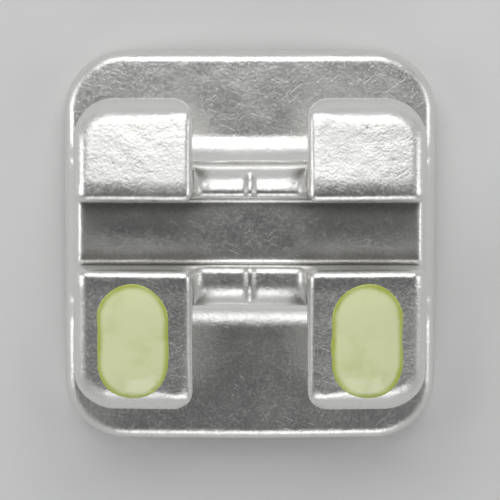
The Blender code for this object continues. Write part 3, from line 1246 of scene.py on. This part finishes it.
@dataclass(frozen=True)
class MouldedBody:
    """Pad, neck, saddle and tie wings in one piece of steel, with slot and wells cut in."""

    pad: BondingPad
    wings: TieWings
    saddle: Saddle
    slot: ArchwireSlot
    marks: list[EnamelMark]
    foot_across: float = 0.11
    foot_along: float = 0.26
    saddle_fillet: float = 0.12
    fillet_ease: float = 0.14
    well_edge: float = 0.006
    waves: Pair = (0.0014, 0.0007)
    edge_probe: float = 0.045
    edge_bends: Pair = (0.08, 0.55)
    # How far open air is looked for, each with its weight, for the painted shade in hollows
    shade_reaches: tuple[Pair, ...] = ((0.08, 0.20), (0.16, 0.25), (0.32, 0.30), (0.60, 0.25))
    shade_range: Pair = (0.10, 0.80)
    net: SurfaceNet = SurfaceNet(step=0.0245)

    def _waves(self, x: Array, y: Array, z: Array) -> Array:
        """The slight unevenness that sintering leaves on a flat."""
        first = np.sin(5.1 * x + 1.9 * z + 0.4) * np.sin(4.3 * y - 2.2 * z + 1.1)
        second = np.sin(11.7 * y + 7.9 * x + 2.0) * np.cos(9.4 * x - 8.8 * z)
        return self.waves[0] * first + self.waves[1] * second

    def distance(self, x: Array, y: Array, z: Array) -> Array:
        """Distance to the whole body.

        Args:
            x: Place along the slot.
            y: Place along the tooth.
            z: Height above the card.

        Returns:
            Distance, negative inside.
        """
        lay = self.wings.layout
        from_wall = np.clip(-lay.neck_depth(y) / self.fillet_ease, 0.0, 1.0)
        heads = self.wings.distance(x, y, z)
        block = round_union(heads, self.saddle.distance(x, y, z), self.saddle_fillet * from_wall)
        at_side = share_of_squares(np.abs(x) - lay.head_half, lay.neck_depth(y))
        foot = blend(self.foot_along, self.foot_across, at_side)
        body = round_union(self.pad.distance(x, y, z), block, foot)
        body = self.slot.cut(body, y, z)
        for mark in self.marks:
            body = round_overlap(body, -mark.well(x, y, z), self.well_edge)
        return body + self._waves(x, y, z)

    def _dress(self, item: Object, points: Array, normals: Array) -> None:
        """Keep on the mesh how exposed each place is, and how sheltered, which the steel paints as shade.
        """
        around = -6.0 * self.distance(*points.T)
        for ahead, behind in either_side(self.distance, points, self.edge_probe):
            around += ahead + behind
        add_values(item, "edge", smooth_step(*self.edge_bends, around / self.edge_probe))
        # The shelter value is an occlusion measure: the steel darkens with it as painted shade, and grows
        # rougher
        open_air = np.zeros(len(points))
        for reach, weight in self.shade_reaches:
            seen = self.distance(*(points + normals * reach).T) / reach
            open_air += weight * np.clip(seen, 0.0, 1.0)
        add_values(item, "shelter", smooth_step(*self.shade_range, 1.0 - open_air))

    def build(self, finish: Material) -> Object:
        """Mesh and dress the body in place of its CAD node.

        Args:
            finish: The steel.

        Returns:
            The piece.
        """
        low = np.array([-self.pad.half_width, -self.pad.half_height, 0.0])
        high = np.array([self.pad.half_width, self.pad.half_height, self.wings.layout.face])
        points, faces, normals = self.net.mesh(self.distance, low, high)
        item = to_object("moulded_body", points, faces, normals)
        self._dress(item, points, normals)
        item.data.materials.append(finish)
        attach(item, "root")
        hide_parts("bracket")
        return item


# Retention pegs


@dataclass(frozen=True)
class RetentionPegs:
    """The undercut pegs in the pad's recess, which the adhesive grips."""

    tooth: ToothCurve
    columns: int = 7
    rows: int = 7
    pitch: float = 0.40
    depth: float = 0.15
    root_diameter: float = 0.15
    head_diameter: float = 0.25
    unevenness: float = 0.03
    seed: int = 11
    sides: int = 18
    rings: int = 15
    sink: float = 0.01
    # Shelter of the pegs, which the steel paints as shade in the pad's recess
    shelter: float = 0.35
    # Places along the peg, its two ends first, with the girth there from 0 for the root to 1 for the head
    swell: tuple[Pair, ...] = (
        (0.0, 0.85),
        (1.0, 0.62),
        (0.12, 0.30),
        (0.28, 0.03),
        (0.45, 0.05),
        (0.70, 0.74),
        (0.86, 1.0),
        (0.95, 0.95),
    )

    def _inputs(self) -> dict[str, int | float]:
        """The tree's inputs, lengths in metres."""
        return {
            "Columns": self.columns,
            "Rows": self.rows,
            "Pitch": self.pitch * MM,
            "Depth": self.depth * MM,
            "Root Diameter": self.root_diameter * MM,
            "Head Diameter": self.head_diameter * MM,
            "Tooth Radius Across": self.tooth.across * MM,
            "Tooth Radius Along": self.tooth.along * MM,
            "Tooth Rise": self.tooth.rise * MM,
            "Unevenness": self.unevenness,
            "Seed": self.seed,
        }

    def _tree(self, finish: Material) -> bpy.types.NodeTree:
        """Build the tree that lays the pegs on the tooth curve."""
        tree = bpy.data.node_groups.new("retention_pegs", "GeometryNodeTree")
        graph = NodeGraph(tree)
        sizes = self._inputs()
        tree.interface.new_socket("Geometry", in_out="OUTPUT", socket_type="NodeSocketGeometry")
        for name, value in sizes.items():
            kind = "NodeSocketInt" if isinstance(value, int) else "NodeSocketFloat"
            tree.interface.new_socket(name, in_out="INPUT", socket_type=kind)
        given = graph.node("NodeGroupInput")
        size = {name: graph.output(given, name) for name in sizes}
        peg = self._peg(graph, size, finish)
        spans = {
            "Size X": (size["Columns"] - 1) * size["Pitch"],
            "Size Y": (size["Rows"] - 1) * size["Pitch"],
            "Vertices X": size["Columns"],
            "Vertices Y": size["Rows"],
        }
        grid = graph.result("GeometryNodeMeshGrid", {}, spans)
        here = graph.node("ShaderNodeSeparateXYZ", {}, {0: graph.result("GeometryNodeInputPosition")})
        x, y = graph.output(here, "X"), graph.output(here, "Y")
        across = (size["Tooth Radius Across"] ** 2 - x * x).root()
        along = (size["Tooth Radius Along"] ** 2 - y * y).root()
        drop = size["Tooth Radius Across"] - across + size["Tooth Radius Along"] - along
        place = graph.vector(X=x, Y=y, Z=size["Tooth Rise"] - drop + size["Depth"])
        upward = graph.vector(X=x / across, Y=y / along, Z=1.0)
        turn = graph.result("FunctionNodeAlignRotationToVector", {"axis": "Z"}, {"Vector": upward})
        points = graph.result("GeometryNodeSetPosition", {}, {"Geometry": grid, "Position": place})
        uneven = size["Unevenness"]
        draw = {"Min_001": 1.0 - uneven, "Max_001": 1.0 + uneven, "Seed": size["Seed"]}
        random = graph.node("FunctionNodeRandomValue", {"data_type": "FLOAT"}, draw)
        wide = graph.output(random, "Value_001")
        girth = graph.vector(X=wide, Y=wide, Z=1.0)
        placing = {"Points": points, "Instance": peg, "Rotation": turn, "Scale": girth}
        placed = graph.result("GeometryNodeInstanceOnPoints", {}, placing)
        real = graph.result("GeometryNodeRealizeInstances", {}, {"Geometry": placed})
        smooth = graph.result("GeometryNodeSetShadeSmooth", {}, {"Geometry": real})
        graph.node("NodeGroupOutput", {}, {0: smooth})
        return tree

    def _peg(self, graph: NodeGraph, size: dict[str, Wire], finish: Material) -> Socket:
        """One peg, turned about its axis from a flared root to an eased head."""
        ends = {"Start": (0.0, 0.0, self.sink * MM), "End": graph.vector(Z=size["Depth"] * -1.0)}
        axis = graph.result("GeometryNodeCurvePrimitiveLine", {}, ends)
        finer = graph.result("GeometryNodeResampleCurve", {}, {"Curve": axis, "Count": self.rings})
        share = graph.output(graph.node("GeometryNodeSplineParameter"), "Factor")
        swell = Wire(graph, graph.result("ShaderNodeFloatCurve", {"curve": self.swell}, {"Value": share}))
        spread = size["Head Diameter"] - size["Root Diameter"]
        radius = (size["Root Diameter"] + spread * swell) * 0.5
        circle = {"Resolution": self.sides, "Radius": 1.0}
        ring = graph.result("GeometryNodeCurvePrimitiveCircle", {}, circle)
        turning = {"Curve": finer, "Profile Curve": ring, "Scale": radius, "Fill Caps": True}
        solid = graph.result("GeometryNodeCurveToMesh", {}, turning)
        return graph.result("GeometryNodeSetMaterial", {}, {"Geometry": solid, "Material": finish})

    def build(self, finish: Material) -> Object:
        """Run the tree and keep its result as a plain mesh.

        Args:
            finish: The steel.

        Returns:
            The piece.
        """
        maker = linked("peg_maker", bpy.data.meshes.new("peg_maker"))
        tree = self._tree(finish)
        modifier = maker.modifiers.new("pegs", "NODES")
        modifier.node_group = tree
        values = self._inputs()
        for entry in tree.interface.items_tree:
            if entry.in_out == "INPUT":
                modifier[entry.identifier] = values[entry.name]
        seen = maker.evaluated_get(bpy.context.evaluated_depsgraph_get())
        mesh = bpy.data.meshes.new_from_object(seen)
        maker.modifiers.clear()
        bpy.data.objects.remove(maker)
        item = linked("retention_pegs", mesh)
        add_values(item, "edge", np.zeros(len(mesh.vertices)))
        # Painted shade on the pegs, by a fixed shelter value
        add_values(item, "shelter", np.full(len(mesh.vertices), self.shelter))
        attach(item, "root")
        return item


# Studio


@dataclass(frozen=True)
class SoftBox:
    """A soft light that faces the bracket."""

    name: str
    place: Triple
    width: float
    height: float
    glow: float

    def build(self) -> None:
        """Hang the light."""
        lamp = bpy.data.lights.new(self.name, "AREA")
        lamp.shape = "RECTANGLE"
        lamp.size = self.width * MM
        lamp.size_y = self.height * MM
        lamp.energy = self.glow * math.pi * lamp.size * lamp.size_y
        item = linked(self.name, lamp)
        item.location = Vector(self.place) * MM
        item.rotation_euler = Vector(self.place).to_track_quat("Z", "Y").to_euler()
        item.visible_camera = False


@dataclass(frozen=True)
class Studio:
    """Card, sky, soft boxes and the camera above the bracket, whose clip range is in metres."""

    tilt: float = 4.0
    frame_width: float = 4.25
    lens: float = 300.0
    sensor_width: float = 36.0
    sight: Pair = (0.001, 2.0)
    card_half: float = 250.0
    aim: Triple = (0.0, 0.0, 0.95)
    zenith: Triple = (0.075, 0.076, 0.078)
    horizon: Triple = (0.50, 0.505, 0.51)
    dusk: Pair = (0.1, 0.95)
    boxes: tuple[SoftBox, ...] = (
        SoftBox("key", (-1.0, 26.2, 29.3), 42.0, 27.0, 2.2),
        SoftBox("fill", (3.0, -34.0, 22.0), 34.0, 20.0, 1.4),
        SoftBox("mesial_side", (-36.0, 2.0, 21.0), 22.0, 14.0, 2.9),
        SoftBox("distal_side", (36.0, 2.0, 21.0), 22.0, 14.0, 2.2),
    )

    def card(self) -> None:
        """Lay the pale card under the bracket."""
        half = self.card_half * MM
        corners = [(-half, -half, 0.0), (half, -half, 0.0), (half, half, 0.0), (-half, half, 0.0)]
        mesh = bpy.data.meshes.new("card")
        mesh.from_pydata(corners, [], [(0, 1, 2, 3)])
        mesh.materials.append(PaleCard().build())
        item = linked("card", mesh)

    def world(self) -> None:
        """Give the scene a soft sky that is a little darker overhead."""
        world = bpy.data.worlds.new("sky")
        world.use_nodes = True
        graph = NodeGraph(world.node_tree)
        aim = graph.node("ShaderNodeTexCoord").outputs["Generated"]
        up = graph.output(graph.node("ShaderNodeSeparateXYZ", {}, {0: aim}), "Z")
        stops = [(0.0, self.horizon), (1.0, self.zenith)]
        ramp = graph.result("ShaderNodeValToRGB", {"stops": stops}, {0: up.eased(*self.dusk)})
        sky = graph.result("ShaderNodeBackground", {}, {"Color": ramp, "Strength": 1.0})
        graph.node("ShaderNodeOutputWorld", {}, {"Surface": sky})
        bpy.context.scene.world = world

    def camera(self) -> None:
        """Stand the camera over the bracket, a few degrees off the vertical."""
        lens = bpy.data.cameras.new("camera")
        lens.lens = self.lens
        lens.sensor_width = self.sensor_width
        lens.clip_start, lens.clip_end = self.sight
        far = self.frame_width * self.lens / self.sensor_width
        lean = math.radians(self.tilt)
        back = Vector((0.0, math.sin(lean), math.cos(lean)))
        item = linked("camera", lens)
        item.location = (Vector(self.aim) + back * far) * MM
        item.rotation_euler = (-lean, 0.0, 0.0)
        bpy.context.scene.camera = item

    def build(self) -> None:
        """Set everything up."""
        self.card()
        self.world()
        for box in self.boxes:
            box.build()
        self.camera()
        bpy.context.scene.view_settings.view_transform = "Standard"


def report(item: Object) -> None:
    """Log a piece with its triangle count."""
    triangles = sum(len(face.vertices) - 2 for face in item.data.polygons)
    log.info("%s: %d triangles", item.name, triangles)


def main() -> None:
    """Build the bracket's pieces and the studio."""
    steel = TumbledSteel().build()
    enamel = CuredEnamel().build()
    tooth = ToothCurve()
    layout = Layout()
    wings = TieWings(layout)
    marks = [EnamelMark(wings, twin) for twin in Twin]
    body = MouldedBody(BondingPad(tooth), wings, Saddle(layout), ArchwireSlot(layout), marks)
    report(body.build(steel))
    report(RetentionPegs(tooth).build(steel))
    for mark in marks:
        report(mark.build(enamel))
    Studio().build()


if __name__ == "__main__":
    main()
